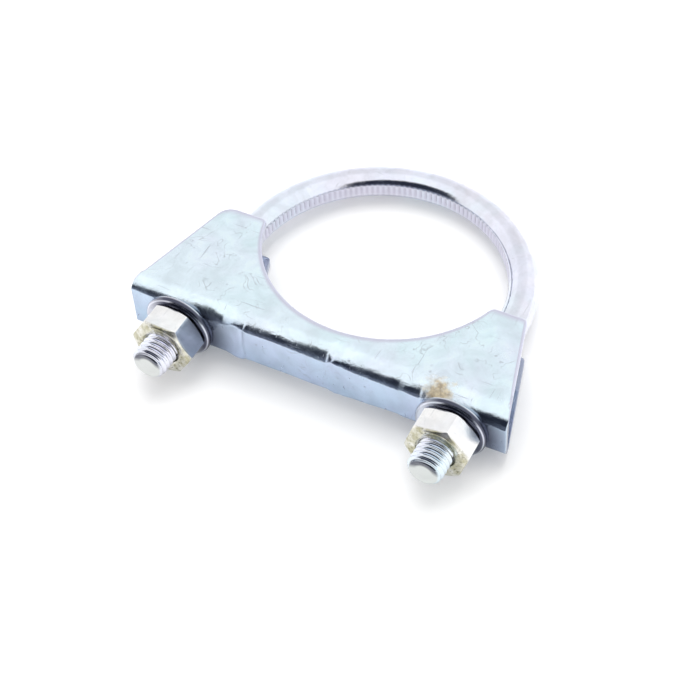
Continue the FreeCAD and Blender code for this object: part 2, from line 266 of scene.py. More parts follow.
def sheet_outline(sizes):
    """Edge of the cheeks from the right end to the left, as points (x, height over the web's face).

    Straight slanted ends and ear tips, and between them the round cut-out for the pipe, with rounded
    corners, in even steps.
    """
    half, ear = SHEET_HIGH[0], sizes.ear_spread
    radius, shift = sizes.cutout, sizes.cutout_shift
    middle = np.array([shift, sizes.waist + radius])
    right, left = sizes.right_ear, sizes.left_ear
    right_reach = math.sqrt(radius ** 2 - (right - middle[1]) ** 2)
    left_reach = math.sqrt(radius ** 2 - (left - middle[1]) ** 2)
    corners = ((half, sizes.sheet), (ear, right), (shift + right_reach, right),
               (shift - left_reach, left), (-ear, left), (-half, sizes.sheet))
    corners = [np.array(corner) for corner in corners]
    low = math.atan2(right - middle[1], right_reach)
    high = math.atan2(left - middle[1], -left_reach)
    if high > 0:
        high -= 2 * math.pi
    swing = np.linspace(low, high, 420)
    arc = middle + radius * np.stack([np.cos(swing), np.sin(swing)], -1)
    tip_round, left_tip_round, right_round, left_round = 1.1, 1.2, 1.0, 3.2
    inner = []
    for corner in corners[2:4]:
        apart = np.linalg.norm(arc - corner, axis=1)
        inner.append(arc[np.argmin(abs(apart - tip_round))])
    line = np.concatenate([
        corners[0][None],
        rounded_corner(corners[0], corners[1], corners[2], right_round),
        rounded_corner(corners[1], corners[2], inner[0], tip_round),
        arc[(arc[:, 0] < inner[0][0]) & (arc[:, 0] > inner[1][0])],
        rounded_corner(inner[1], corners[3], corners[4], left_tip_round),
        rounded_corner(corners[3], corners[4], corners[5], left_round),
        corners[5][None]])
    length = np.append(0, np.cumsum(np.linalg.norm(np.diff(line, axis=0), axis=1)))
    steps = np.linspace(0, length[-1], 470)
    return np.stack([np.interp(steps, length, line[:, 0]), np.interp(steps, length, line[:, 1])], -1)


# Along the saddle, in millimetres: place, radius of the fold's lower face and radius above that face
FOLD_FACE = ((-44.2, 2.4, 5.5), (-39, 3.2, 5.3), (-35, 3.6, 5.8), (-29, 4.7, 4.7), (-25, 5.9, 3.7),
             (-21.5, 3.8, 6.8), (-19.5, 1.5, 8.0), (-17.5, 1.6, 7.6), (-15.3, 4.3, 5.5), (-11, 3.9, 5.6),
             (-5, 3.9, 6.2), (-1, 5.3, 4.2), (3.4, 5.7, 4.1), (4.7, 1.1, 8.0), (6.3, 2.6, 8.0),
             (9, 3.0, 8.0), (13, 4.2, 6.6), (17, 4.5, 7.1), (20, 4.9, 6.9), (21.5, 3.3, 8.0),
             (25, 5.2, 6.7), (26.4, 2.4, 8.0), (28, 3.0, 8.0), (32, 3.9, 8.0), (36, 4.3, 8.0),
             (40, 4.7, 8.0), (44.2, 5.0, 8.0))

# The press's marks, in millimetres: place, depth of the groove, height of the bulge and where it lies
PRESS_MARKS = ((-16.6, 0.22, 0.20, -1.9), (4.7, 0.24, 0.18, 2.6), (26.4, 0.24, 0.10, -1.6))


def fold_profile(x, high):
    """The fold's outer face in three arcs that follow on each other: height over the web and z, per row.

    The first turns 25 degrees from the web on a small radius, the second to 52 degrees on the radius of
    the pressed face, and the third to the cheek. A point is the sum of radius times sine and of radius
    times one less cosine over the angles before it.
    """
    first, second, small = 25, 52, 0.4
    place, low, top = np.array(FOLD_FACE).T
    arcs = (np.linspace(0, first, 9), np.linspace(first, second, 25)[1:], np.linspace(second, 90, 29)[1:])
    swing = np.radians(np.concatenate(arcs))
    middle = np.degrees(swing[:-1] + swing[1:])[None] / 2
    low, top = np.interp(x, place, low)[:, None], np.interp(x, place, top)[:, None]
    radius = np.where(middle < first, small, np.where(middle < second, low, top))
    start = np.zeros((len(x), 1))
    height = np.concatenate([start, np.cumsum(radius * -np.diff(np.cos(swing))[None], 1)], 1)
    z = np.concatenate([start, np.cumsum(radius * np.diff(np.sin(swing))[None], 1)], 1)
    return height, z + (high - z[:, -1:])


def press_marks(x, across, sizes):
    """How far the press pushed the sheet outwards at x.

    across is 0 on the web's middle, 1 at the fold's middle and 2 where the cheek is flat. Each mark is a
    narrow groove over web and fold with a soft bulge beside it on the fold.
    """
    lift = np.zeros(np.broadcast(x, across).shape)
    fade = (1 - smooth_step(across, 1.25, 1.9)) * (0.3 + 0.7 * hump(across, 1.0, 0.5))
    for place, deep, bulge, side in PRESS_MARKS:
        lean = place + 0.35 * (across - 1.0)
        lift = lift - sizes.mark_depth * deep * hump(x, lean, 0.38) * fade
        lift = lift + sizes.mark_depth * bulge * hump(x, place + side, 1.3) * hump(across, 1.1, 0.42)
    return lift


# Rows of points on half of each face of the sheet
WEB_ROWS, FOLD_ROWS, CHEEK_ROWS = 7, 26, 14

# Where the rows lie, on the scale on which the fold's middle is about 1 and the flat cheek begins at 2
WEB_SHARE, FOLD_SHARE, CHEEK_SHARE = 0.55, 1.5, 4.0


def face_run(edge, away, short, height, z, inset):
    """One face from the web's middle to the cheek's edge: x, height over the web and z.

    height and z are the fold's profile per row, away points out of the sheet across its edge, and inset
    times short is how far the face ends before the edge.
    """
    x, lift = edge[:, :1], height[:, :1]
    low = z[:, :1] * np.linspace(0, 1, WEB_ROWS)[None]
    web = np.stack([x + 0 * low, lift + 0 * low, low], -1)
    stop = np.maximum(edge[:, 1:], lift)
    before = np.clip((height < stop).sum(1, keepdims=True) - 1, 0, height.shape[1] - 2)
    here, after = np.take_along_axis(height, before, 1), np.take_along_axis(height, before + 1, 1)
    last = before + np.clip((stop - here) / np.maximum(after - here, 1e-9), 0, 1)
    spot = last * np.linspace(0, 1, FOLD_ROWS + 1)[None, 1:]
    index = np.minimum(spot.astype(int), height.shape[1] - 2)
    part = spot - index
    bend = [x + 0 * spot]
    for values in (height, z):
        start, end = np.take_along_axis(values, index, 1), np.take_along_axis(values, index + 1, 1)
        bend.append(start * (1 - part) + end * part)
    bend = np.stack(bend, -1)
    foot = bend[:, -1]
    tip = np.concatenate([edge - away * inset * short, foot[:, 2:]], 1)
    share = 1 - (1 - np.linspace(0, 1, CHEEK_ROWS + 1)[1:]) ** 1.3
    cheek = foot[:, None] + (tip - foot)[:, None] * share[None, :, None]
    return np.concatenate([web, bend, cheek], 1)


def cut_edge(outer, inner, away, short, roll):
    """Points over the cut edge: a quarter round on the outer side, a straight face and a sharp corner."""
    tip, last = outer[:, -1], inner[:, -1]
    rim = []
    for turn in np.linspace(0, np.pi / 2, 7)[1:]:
        beyond = tip[:, :2] + away * roll * short * math.sin(turn)
        below = tip[:, 2:] - 0.8 * roll * short * (1 - math.cos(turn))
        rim.append(np.concatenate([beyond, below], 1))
    start = rim[-1]
    corner = np.concatenate([last[:, :2] + away * INNER_ROLL * short, last[:, 2:] + 0.06 * short], 1)
    at_end = np.zeros((len(tip), 1), bool)
    at_end[[0, -1]] = True
    for share in (0.12, 0.45, 0.9, 1.0):
        rim.append(start + (corner - start) * np.where(at_end, round(share), share))
    return np.stack(rim, 1)


def saddle_mesh(sizes):
    """The folded sheet: a closed section of web, folds, cheeks and cut edges, carried along the length.

    Each row of points stands on one point of the outline. It runs over the outer face from the web's
    middle round the upper fold to the cheek's edge, over the cut edge and back on the inner face, and
    the lower half is its mirror image.
    """
    edge = sheet_outline(sizes)
    x, tall = edge[:, :1], edge[:, 1:]
    tangent = np.gradient(edge, axis=0)
    tangent /= np.linalg.norm(tangent, axis=1)[:, None]
    away = np.stack([tangent[:, 1], -tangent[:, 0]], -1)
    fold, sheet = sizes.fold, sizes.sheet
    high = (SHEET_HIGH[2] - SHEET_LOW[2]) / 2
    short = smooth_step(tall, fold, fold + 2.0)
    turn = np.linspace(0, np.pi / 2, 40)[None] + 0 * x
    under = (fold - (fold - sheet) * np.cos(turn), high - fold + (fold - sheet) * np.sin(turn))
    outer = face_run(edge, away, short, *fold_profile(x[:, 0], high), sizes.edge_roll)
    inner = face_run(edge, away, short, *under, INNER_ROLL)
    across = np.concatenate([np.linspace(0, WEB_SHARE, WEB_ROWS),
                             np.linspace(WEB_SHARE, FOLD_SHARE, FOLD_ROWS + 1)[1:],
                             np.linspace(FOLD_SHARE, CHEEK_SHARE, CHEEK_ROWS + 1)[1:]])
    turn = np.clip((across - WEB_SHARE) / (FOLD_SHARE - WEB_SHARE), 0, 1) * np.pi / 2
    normal = np.stack([0 * turn, -np.cos(turn), np.sin(turn)], -1)
    wave = sizes.sheet_wave * (np.sin(x * 0.21 + 0.6) + 0.6 * np.sin(x * 0.47 + 2.0))
    wave = wave * smooth_step(SHEET_HIGH[0] - np.abs(x), 0.5, 6.0)
    wave = wave * (1 - smooth_step(across, FOLD_SHARE, 2.6))[None]
    push = press_marks(x, across[None], sizes)
    outer = outer + (push + wave)[..., None] * normal
    inner = inner + (0.5 * push + wave)[..., None] * normal
    rim = cut_edge(outer, inner, away, short, sizes.edge_roll)
    upper = np.concatenate([outer, rim, inner[:, ::-1]], 1)
    lower = (upper * np.array([1, 1, -1.0]))[:, ::-1]
    loop = np.concatenate([upper, lower], 1)
    loop[..., 1] += WEB_FACE

    # the slanted ends of the sheet, closed by quads between the outer and the inner face
    rows, columns = loop.shape[:2]
    half, size = outer.shape[1], upper.shape[1]
    out_run, in_run = np.arange(half), size - 1 - np.arange(half)
    caps = np.stack([out_run[:-1], out_run[1:], in_run[1:], in_run[:-1]], -1)
    caps = np.concatenate([caps, 2 * size - 1 - caps])
    faces = np.concatenate([grid_faces(rows, columns, around=True), caps, caps + (rows - 1) * columns])

    # nearness to the cut edge, 1 on it and fading over a millimetre of the faces beside it
    apart = np.linalg.norm(upper - outer[:, -1:], axis=2)
    near = np.exp(-((apart / 0.9) ** 2))
    near[:, half:size - half] = 1.0
    near = np.concatenate([near, near[:, ::-1]], 1)
    return closed_mesh("saddle", loop.reshape(-1, 3), faces, {"rim": near})


def punched(piece, radius):
    """Both leg holes cut through the web by two short closed cylinders."""
    turn = np.linspace(0, 2 * np.pi, 97)[None]
    depth = WEB_FACE + np.array([-1.0, -1.0, 2.8, 2.8])[:, None] + 0 * turn
    reach = np.array([0.0, radius, radius, 0.0])[:, None]
    faces = grid_faces(4, turn.size)
    for side in (-1, 1):
        points = np.stack([side * LEG_X + reach * np.cos(turn), depth, LEG_Z + reach * np.sin(turn)], -1)
        cutter = bpy.data.objects.new("hole", closed_mesh("hole", points.reshape(-1, 3), faces))
        bpy.context.scene.collection.objects.link(cutter)
        cut = piece.modifiers.new("hole", "BOOLEAN")
        cut.object = cutter
        cut.operation = "DIFFERENCE"
        cut.solver = "EXACT"
        bpy.context.view_layer.update()
        drilled = piece.evaluated_get(bpy.context.evaluated_depsgraph_get())
        mesh = bpy.data.meshes.new_from_object(drilled)
        piece.modifiers.clear()
        old, piece.data = piece.data, mesh
        bpy.data.meshes.remove(old)
        bpy.data.objects.remove(cutter)


# Washers and nuts


def turned_surface(side, radius, depth, turn, foot):
    """A closed profile carried round a leg: radius and depth in front of foot, per row and angle."""
    radius, depth, turn = np.broadcast_arrays(radius, depth, turn)
    points = np.stack([side * LEG_X + radius * np.cos(turn), foot - depth, LEG_Z + radius * np.sin(turn)], -1)
    points = np.concatenate([points, points[:1]])
    return points.reshape(-1, 3), grid_faces(points.shape[0], points.shape[1], around=True)


def washer_mesh(side, sizes):
    """A plain washer: a profile with a rounded back and a wide chamfer in front, carried round the leg.

    The profile's rows of radius and depth run from the hole over the back, the rim and the front, and
    through the hole back to the start.
    """
    hole, rim = sizes.thread / 2 + WASHER_PLAY, sizes.washer / 2
    thick = WASHER_HIGH[1] - WASHER_LOW[1]
    back, straight, cut = 0.12, 0.75, 0.85
    swing = np.linspace(0, np.pi / 2, 6)
    share = np.linspace(0, 1, 9)
    rows = [(hole + 0.15, 0), (hole + 1.2, 0), (rim - 1.0, 0), (rim - back - 0.1, 0)]
    rows += zip(rim - back + back * np.sin(swing), back - back * np.cos(swing))
    rows += [(rim, straight * 0.6)]
    rows += zip(rim - cut * share ** 1.25, straight + (thick - straight) * (1 - (1 - share) ** 1.25))
    rows += [(rim - cut - 0.12, thick), (hole + 1.2, thick), (hole + 0.25, thick)]
    rows += [(hole + 0.12, thick - 0.04), (hole, thick - 0.16), (hole, 0.12), (hole + 0.05, 0.03)]
    radius, depth = np.array(rows).T[..., None]
    turn = np.linspace(0, 2 * np.pi, 129)[None, :-1]
    return closed_mesh("washer", *turned_surface(side, radius, depth, turn, WEB_FACE))


def nut_mesh(side, corner, sizes):
    """A hexagon nut with a 30 degree chamfer on both faces and a countersunk bore.

    The outside radius at an angle is the distance to the flat, half the spanner size over the cosine of
    the angle from its middle, softened at the corners. The chamfer's cone starts on the face's circle, so
    it meets the flats at a height of the radius beyond that circle over the root of 3.
    """
    step = np.arange(24) / 24
    step = step - 0.9 * np.sin(2 * np.pi * step) / (2 * np.pi)
    turn = (np.arange(6)[:, None] + step[None]).ravel() * np.pi / 3
    flat, soft = sizes.nut / 2, 0.05
    nearest = np.mod(turn, np.pi / 3) - np.pi / 6
    own, beside = flat / np.cos(nearest), flat / np.cos(np.pi / 3 - np.abs(nearest))
    outside = own - soft * np.log1p(np.exp((own - beside) / soft))
    face, bore = flat - 0.35, sizes.thread / 2 + NUT_PLAY
    high = NUT_HIGH[1] - NUT_LOW[1]
    beyond = np.maximum(outside - face, 0.0)
    rise = beyond / math.sqrt(3)
    even = np.ones(outside.shape)

    def level(*rows):
        """Rows of one radius and depth all round."""
        return [(radius * even, depth * even) for radius, depth in rows]

    lower = level((bore + 0.53, 0.02), (bore + 0.62, 0))
    lower += level((face - 0.5, 0), (face - 0.14, 0), (face - 0.04, 0.005))
    lower += [(face + beyond * share, rise * share + 0.005) for share in (0.03, 0.12, 0.4, 0.7, 0.9, 0.97)]
    lower += [(outside, rise + lift) for lift in (0.04, 0.12, 0.3)]
    middle = [(outside, high * share * even) for share in (0.3, 0.42, 0.58, 0.7)]
    upper = [(radius, high - depth) for radius, depth in lower[::-1]]
    inside = level((bore + 0.47, high - 0.05), (bore + 0.04, high - 0.48), (bore, high - 0.6))
    inside += level((bore, high / 2), (bore, 0.6), (bore + 0.04, 0.48), (bore + 0.47, 0.05))
    radius, depth = np.array(lower + middle + upper + inside).transpose(1, 0, 2)
    return closed_mesh("nut", *turned_surface(side, radius, depth, (turn + corner)[None], NUT_SEAT))


# Shader nodes


def feed(tree, socket, value):
    """Link a socket to value where that is another socket, or else set it to value."""
    if isinstance(value, bpy.types.NodeSocket):
        tree.links.new(value, socket)
    else:
        socket.default_value = value


def add(tree, kind, inputs=None, **settings):
    """A node with its settings, and with its inputs set to numbers or linked to other sockets."""
    node = tree.nodes.new("ShaderNode" + kind)
    for key, value in settings.items():
        setattr(node, key, value)
    for key, value in (inputs or {}).items():
        feed(tree, node.inputs[key], value)
    return node


def object_place(tree):
    """The point's place on the object, in metres."""
    return add(tree, "TexCoord").outputs["Object"]


def maths(tree, operation, *values, clamp=False):
    """The result of a Math node."""
    return add(tree, "Math", dict(enumerate(values)), operation=operation, use_clamp=clamp).outputs[0]


def product(tree, *factors):
    """The product of sockets and numbers."""
    result = factors[0]
    for factor in factors[1:]:
        result = maths(tree, "MULTIPLY", result, factor)
    return result


def ramp(tree, value, low, high, start=0.0, end=1.0, kind="LINEAR", clamp=True):
    """start where value is at low, end where it is at high, and in between by the kind of ramp."""
    inputs = {"Value": value, "From Min": low, "From Max": high, "To Min": start, "To Max": end}
    return add(tree, "MapRange", inputs, interpolation_type=kind, clamp=clamp).outputs[0]


def noise(tree, place, scale, detail, roughness=0.5, distortion=0.0):
    """Soft noise about 0.5, its scale in patches a metre."""
    inputs = {"Vector": place, "Scale": scale, "Detail": detail}
    inputs.update({"Roughness": roughness, "Distortion": distortion})
    return add(tree, "TexNoise", inputs).outputs["Fac"]


def colour(values):
    """Three numbers of a colour property as the four that a socket holds."""
    return (values[0], values[1], values[2], 1.0)


def mixed(tree, factor, under, over, blend="MIX"):
    """A colour between under and over, each a socket or a colour."""
    mix = add(tree, "Mix", data_type="RGBA", blend_type=blend)
    for index, value in ((0, factor), (6, under), (7, over)):
        feed(tree, mix.inputs[index], value)
    return mix.outputs[2]


def new_group(name, inputs, outputs):
    """A shader node group. inputs has default numbers, colours or vectors, outputs has kinds of socket."""
    group = bpy.data.node_groups.new(name, "ShaderNodeTree")
    for key, value in inputs.items():
        kind = "Float" if isinstance(value, float) else "Color" if len(value) == 4 else "Vector"
        socket = group.interface.new_socket(name=key, in_out="INPUT", socket_type="NodeSocket" + kind)
        socket.default_value = value
    for key, kind in outputs.items():
        group.interface.new_socket(name=key, in_out="OUTPUT", socket_type="NodeSocket" + kind)
    given, result = group.nodes.new("NodeGroupInput"), group.nodes.new("NodeGroupOutput")
    return group, given.outputs, result.inputs


def plating_colour_group():
    """Blue passivated zinc: large soft patches of a cool and a lilac tint over the plating's own colour."""
    group, given, result = new_group("Plating colour", {
        "Base": (0.8, 0.86, 0.92, 1), "Cool": (0.7, 0.88, 0.9, 1), "Lilac": (0.78, 0.76, 0.92, 1),
        "Patch size": 70.0, "Amount": 0.6}, {"Colour": "Color"})
    place = object_place(group)
    shifted = add(group, "Mapping", {"Vector": place, "Location": (0.37, 0.11, 0.23)}).outputs[0]
    cool = ramp(group, noise(group, place, given["Patch size"], 3.0, 0.6), 0.42, 0.68, 0.0, given["Amount"])
    lilac = ramp(group, noise(group, shifted, given["Patch size"], 3.0, 0.6), 0.45, 0.7, 0.0, given["Amount"])
    tinted = mixed(group, cool, given["Base"], given["Cool"])
    group.links.new(mixed(group, lilac, tinted, given["Lilac"]), result["Colour"])
    return group


def handling_marks_group():
    """Marks of the press and of handling: fine scratches in two directions and small pits.

    A scratch is where noise stretched along one direction passes a high level. A pit is the middle of
    a cell of a Voronoi pattern, left out where a coarser noise is low.
    """
    group, given, result = new_group("Handling marks", {"Scratches": 0.5, "Pits": 0.5},
                                     {"Mask": "Float", "Height": "Float"})
    place = object_place(group)
    lines = []
    for lean, stretch in ((0.35, (90, 1300, 700)), (-0.9, (1100, 110, 700))):
        inputs = {"Vector": place, "Rotation": (0, 0, lean), "Scale": stretch}
        turned = add(group, "Mapping", inputs).outputs[0]
        lines.append(ramp(group, noise(group, turned, 1.0, 2.0), 0.69, 0.75))
    scratch = product(group, maths(group, "MAXIMUM", *lines), given["Scratches"])
    cells = add(group, "TexVoronoi", {"Vector": place, "Scale": 430.0, "Randomness": 1.0})
    middle = ramp(group, cells.outputs["Distance"], 0.05, 0.2, 1.0, 0.0)
    sparse = ramp(group, noise(group, place, 190.0, 1.0), 0.55, 0.68)
    pit = product(group, middle, sparse, given["Pits"])
    mask = maths(group, "MAXIMUM", scratch, pit, clamp=True)
    grain = noise(group, place, 900.0, 3.0, 0.6)
    height = maths(group, "MULTIPLY_ADD", grain, 0.35, product(group, mask, -0.8))
    group.links.new(mask, result["Mask"])
    group.links.new(height, result["Height"])
    return group


def sheen_group():
    """How dull the plating is: a roughness that drifts between two levels, and is higher on marks."""
    group, given, result = new_group("Sheen", {"Bright": 0.16, "Dull": 0.32, "Marks": 0.0},
                                     {"Roughness": "Float"})
    drift = noise(group, object_place(group), 260.0, 4.0, 0.65)
    level = ramp(group, drift, 0.3, 0.7, given["Bright"], given["Dull"])
    rough = maths(group, "MULTIPLY_ADD", given["Marks"], 0.35, level, clamp=True)
    group.links.new(rough, result["Roughness"])
    return group


def spot_group():
    """A ragged spot: nearness to a place, broken up by noise. Mask is 1 in its middle."""
    group, given, result = new_group("Ragged spot", {"Place": (0.0, 0.0, 0.0), "Reach": 0.004, "Ragged": 0.5},
                                     {"Mask": "Float"})
    place = object_place(group)
    apart = add(group, "VectorMath", {0: place, 1: given["Place"]}, operation="DISTANCE").outputs["Value"]
    near = maths(group, "DIVIDE", apart, given["Reach"])
    spread = ramp(group, noise(group, place, 520.0, 6.0, 0.75), 0.3, 0.7, -1.0, 1.0, clamp=False)
    uneven = maths(group, "MULTIPLY_ADD", spread, given["Ragged"], near)
    group.links.new(ramp(group, uneven, 0.45, 1.25, 1.0, 0.0), result["Mask"])
    return group


def stains_group():
    """Stains of the plating bath: thin winding lines where noise crosses its middle, and soft clouds."""
    group, given, result = new_group("Bath stains", {"Lines": 0.6}, {"Lines": "Float", "Clouds": "Float"})
    place = object_place(group)
    apart = maths(group, "SUBTRACT", noise(group, place, 150.0, 2.5, 0.55, 0.8), 0.5)
    line = ramp(group, maths(group, "ABSOLUTE", apart), 0.0, 0.012, 1.0, 0.0)
    patch = ramp(group, noise(group, place, 240.0, 2.0), 0.5, 0.62)
    group.links.new(product(group, line, patch, given["Lines"]), result["Lines"])
    group.links.new(noise(group, place, 210.0, 4.0, 0.6, 0.4), result["Clouds"])
    return group


def group_named(name):
    """The shader node group of that name, made the first time that it is asked for."""
    makers = {"Plating colour": plating_colour_group, "Handling marks": handling_marks_group,
              "Sheen": sheen_group, "Ragged spot": spot_group, "Bath stains": stains_group}
    return bpy.data.node_groups.get(name) or makers[name]()


def use_group(tree, name, **values):
    """The outputs of a shader group's node in a material, with its own values."""
    node = tree.nodes.new("ShaderNodeGroup")
    node.node_tree = group_named(name)
    for key, value in values.items():
        feed(tree, node.inputs[key.replace("_", " ")], value)
    return node.outputs


# Finishes

# The spot of dirt beside the right-hand hole: its middle and its reach, in millimetres
DIRT_PLACE = (28.7, -28.7, 6.2)
DIRT_REACH = 3.5

# Colours that belong to no piece: scratches and pits, bath stains, dirt's core, specks and shade
MARK = (0.38, 0.40, 0.44, 1)
STAIN = (0.42, 0.46, 0.50, 1)
DIRT_CORE = (0.2, 0.13, 0.06, 1)
SPECK = (0.16, 0.15, 0.09, 1)
SHADED_FLAT = (0.16, 0.18, 0.24, 1)


def new_material(name):
    """A material, its node tree and the inputs of its Principled BSDF."""
    material = bpy.data.materials.new(name)
    material.use_nodes = True
    tree = material.node_tree
    return material, tree, tree.nodes["Principled BSDF"].inputs


def plated(name, colours, base, bright, dull, scratches, pits, stains, patch, bump, tint=0.6):
    """Zinc plating with its tints, stains, marks and sheen: material, tree, shader, colour, roughness."""
    material, tree, shader = new_material(name)
    shader["Metallic"].default_value = 1.0
    tinted = use_group(tree, "Plating colour", Base=colour(base), Cool=colour(colours.cool),
                       Lilac=colour(colours.lilac), Patch_size=patch, Amount=tint)["Colour"]
    marks = use_group(tree, "Handling marks", Scratches=scratches, Pits=pits)
    bath = use_group(tree, "Bath stains", Lines=stains)
    rough = use_group(tree, "Sheen", Bright=bright, Dull=dull, Marks=marks["Mask"])["Roughness"]
    soft = ramp(tree, bath["Clouds"], 0.35, 0.65, 0.9, 1.04)
    cloudy = add(tree, "VectorMath", {0: tinted, "Scale": soft}, operation="SCALE").outputs[0]
    shade = mixed(tree, marks["Mask"], mixed(tree, bath["Lines"], cloudy, STAIN), MARK)
    uneven = maths(tree, "MULTIPLY_ADD", bath["Clouds"], 3.0, marks["Height"])
    relief = add(tree, "Bump", {"Height": uneven, "Strength": bump, "Distance": 0.0001})
    tree.links.new(rough, shader["Roughness"])
    tree.links.new(relief.outputs["Normal"], shader["Normal"])
    return material, tree, shader, shade, rough


def beside_leg(tree, where):
    """How far a point is from the nearer leg's axis, and how far up and to the right, in centimetres."""
    side = maths(tree, "SIGN", where["X"])
    across = maths(tree, "MULTIPLY_ADD", side, -LEG_X * MM, where["X"])
    up = maths(tree, "ADD", where["Z"], -LEG_Z * MM)
    flat = add(tree, "CombineXYZ", {0: across, 1: 0.0, 2: up}).outputs[0]
    far = add(tree, "VectorMath", {0: flat}, operation="LENGTH").outputs["Value"]
    toward = add(tree, "VectorMath", {0: flat, 1: (75.0, 0.0, 66.0)}, operation="DOT_PRODUCT")
    return product(tree, far, 100.0), toward.outputs["Value"]


def sheet_finish(colours):
    """The saddle's plating, with lilac cut edges and a spot of dirt.

    Painted shade makes the web greyer, darker towards the ground and beside the washers, and darkens the
    inner faces.
    """
    material, tree, shader, shade, rough = plated(
        "Zinc on pressed sheet", colours, colours.sheet, bright=0.14, dull=0.28, scratches=0.5, pits=0.5,
        stains=0.55, patch=75.0, bump=0.5)
    place = object_place(tree)
    where = add(tree, "SeparateXYZ", {0: place}).outputs
    rim = add(tree, "Attribute", attribute_name="rim").outputs["Fac"]
    shade = mixed(tree, ramp(tree, rim, 0.2, 0.9, 0.0, 0.75), shade, colour(colours.edge))

    # the web's front, greyer and darker towards the ground: painted shade, for the shadowed floor that it
    # mirrors
    front = ramp(tree, where["Y"], (WEB_FACE + 1.3) * MM, (WEB_FACE + 0.2) * MM)
    low = ramp(tree, where["Z"], 5.0 * MM, -7.2 * MM)
    web_shade = mixed(tree, low, colour(colours.web), colour(colours.web_low_shade))
    shade = mixed(tree, front, shade, web_shade, "MULTIPLY")

    # painted shade round the washers, where the web would mirror the nuts' shaded sides, and on the inner
    # faces
    far, toward = beside_leg(tree, where)
    painted_shade = product(tree, ramp(tree, far, 1.35, 0.82), ramp(tree, toward, -0.25, 0.45, 0.0, 0.9), front)
    shade = mixed(tree, painted_shade, shade, colour(colours.painted_shade))
    height = maths(tree, "ABSOLUTE", maths(tree, "ADD", where["Z"], -LEG_Z * MM))
    inner_shade_height = ramp(tree, height, 6.4 * MM, 5.6 * MM)
    behind = ramp(tree, where["Y"], (WEB_FACE + 0.7) * MM, (WEB_FACE + 1.4) * MM)
    shade = mixed(tree, product(tree, inner_shade_height, behind), shade, colour(colours.inside))

    # the spot of dirt, which is duller and less metallic
    spot = use_group(tree, "Ragged spot", Place=[c * MM for c in DIRT_PLACE], Reach=DIRT_REACH * MM,
                     Ragged=0.45)["Mask"]
    patchy = ramp(tree, noise(tree, place, 850.0, 5.0, 0.7), 0.4, 0.66)
    dirt = mixed(tree, patchy, colour(colours.dirt), DIRT_CORE)
    tree.links.new(mixed(tree, product(tree, spot, 0.88), shade, dirt), shader["Base Color"])
    tree.links.new(ramp(tree, spot, 0.0, 1.0, 1.0, 0.3), shader["Metallic"])
    tree.links.new(maths(tree, "MULTIPLY_ADD", spot, 0.4, rough, clamp=True), shader["Roughness"])
    return material


def rod_finish(colours):
    """The U-bolt's plating, with a duller toothed strip and grey cut ends.

    Painted shade darkens the strip's grooves and lies as a dark crescent at the top of each end.
    """
    material, tree, shader, shade, _ = plated(
        "Zinc on drawn rod", colours, colours.rod, bright=0.1, dull=0.2, scratches=0.25, pits=0.2,
        stains=0.1, patch=60.0, bump=0.22)
    # the toothed strip's duller tone, with painted shade in its grooves
    grip_and_groove_shade = add(tree, "Attribute", attribute_name="grip_and_groove_shade").outputs["Fac"]
    shade = mixed(tree, grip_and_groove_shade, shade, colour(colours.grip_and_groove_shade))
    where = add(tree, "SeparateXYZ", {0: object_place(tree)}).outputs
    far, _ = beside_leg(tree, where)
    end = ramp(tree, where["Y"], (LEG_END + 0.75) * MM, (LEG_END + 0.6) * MM)
    cut = product(tree, ramp(tree, far, 0.34, 0.3, 0.0, 0.9), end)
    shade = mixed(tree, cut, shade, colour(colours.end))
    # a dark crescent at the top of each end's dish: painted shadow, for the shaded floor that its upper wall
    # would mirror
    up = maths(tree, "ADD", where["Z"], -LEG_Z * MM)
    ring = product(tree, ramp(tree, far, 0.17, 0.23), ramp(tree, far, 0.35, 0.32))
    crescent = product(tree, ring, ramp(tree, up, 0.2 * MM, 1.6 * MM, 0.0, 0.85), end)
    tree.links.new(mixed(tree, crescent, shade, colour(colours.painted_shade)), shader["Base Color"])
    return material


def washer_finish(colours):
    """The washers' plating, darkened in front by painted shade, least along the front's edge."""
    material, tree, shader, shade, _ = plated(
        "Zinc on washer", colours, colours.rod, bright=0.12, dull=0.24, scratches=0.2, pits=0.2,
        stains=0.0, patch=90.0, bump=0.2)
    where = add(tree, "SeparateXYZ", {0: object_place(tree)}).outputs
    far, toward = beside_leg(tree, where)
    # painted shade on the washer's front towards the top and right, thinner along its edge
    front = ramp(tree, where["Y"], (WASHER_HIGH[1] - 0.1) * MM, (WASHER_HIGH[1] - 0.5) * MM)
    above = ramp(tree, toward, -0.2, 0.3, 0.3, 0.95)
    from_edge = maths(tree, "ABSOLUTE", maths(tree, "ADD", far, -0.765))
    painted_shade = product(tree, front, above, ramp(tree, from_edge, 0.004, 0.018, 0.25, 1.0))
    tree.links.new(mixed(tree, painted_shade, shade, colour(colours.painted_shade)), shader["Base Color"])
    return material


